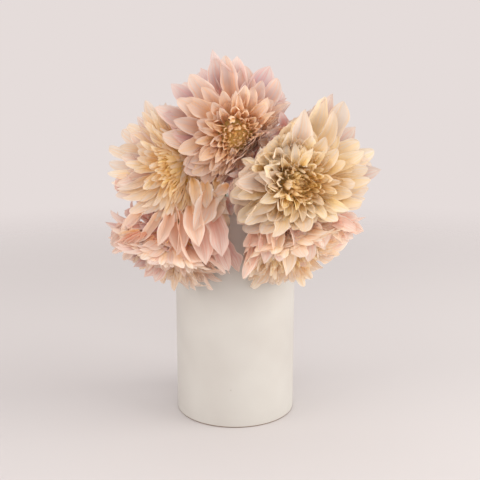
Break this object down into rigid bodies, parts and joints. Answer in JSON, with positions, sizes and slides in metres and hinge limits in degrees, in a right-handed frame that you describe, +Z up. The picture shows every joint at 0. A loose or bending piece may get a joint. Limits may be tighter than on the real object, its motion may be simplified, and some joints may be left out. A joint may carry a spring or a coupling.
{
  "type": "dinner plate dahlias in a vase",
  "caption": "Bouquet of peach and blush dinner plate dahlia heads on bent green stems, standing in water in a straight matte ceramic vase.",
  "frame": {"origin": "centre of the vase's flat underside, on the surface that it stands on", "axes": "+Z up along the vase's axis, +X to the right as the flowers are seen from the front, -Y towards the viewer and the way that the flowers face"},
  "size_m": [0.2883, 0.216, 0.417],
  "materials": {
    "matte_ceramic": "matte",
    "water": "gloss",
    "green_stem": "satin",
    "petals_blush": "matte",
    "petals_cream": "matte"
  },
  "bodies": {
    "root": {"vase": "matte_ceramic", "water": "water", "stem_top": "green_stem", "stem_right": "green_stem", "stem_left": "green_stem", "stem_low_left": "green_stem", "stem_low_right": "green_stem", "bloom_top": "petals_blush", "bloom_right": "petals_cream", "bloom_left": "petals_cream", "bloom_low_left": "petals_blush", "bloom_low_right": "petals_blush"}
  },
  "joints": []
}
